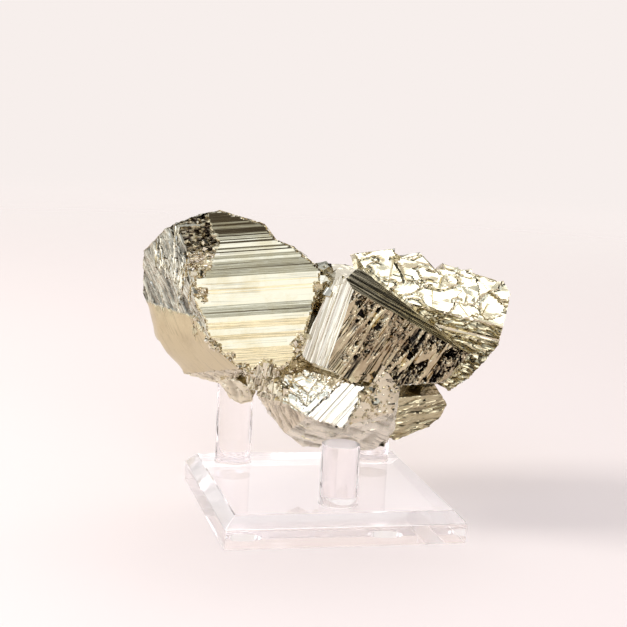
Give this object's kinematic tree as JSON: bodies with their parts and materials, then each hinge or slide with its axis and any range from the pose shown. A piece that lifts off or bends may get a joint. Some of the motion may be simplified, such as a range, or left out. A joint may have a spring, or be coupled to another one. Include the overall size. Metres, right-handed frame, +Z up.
{
  "type": "pyrite crystal cluster on a display stand",
  "caption": "Intergrown striated pyrite crystals resting on the pegs of a clear acrylic display stand with a bevelled square plate.",
  "frame": {"origin": "middle of the stand plate's underside, on the table", "axes": "+X along the plate's front edge to the viewer's right, +Y to the back, away from the short front peg, +Z up"},
  "size_m": [0.1174, 0.0871, 0.0956],
  "materials": {
    "pyrite": "natural crystal faces with a pale brassy metallic lustre",
    "acrylic": "clear, flame-polished cast acrylic"
  },
  "bodies": {
    "root": {"pyrite_cluster": "pyrite", "stand_plate": "acrylic", "peg_front": "acrylic", "peg_back_left": "acrylic", "peg_back_right": "acrylic"}
  },
  "joints": []
}
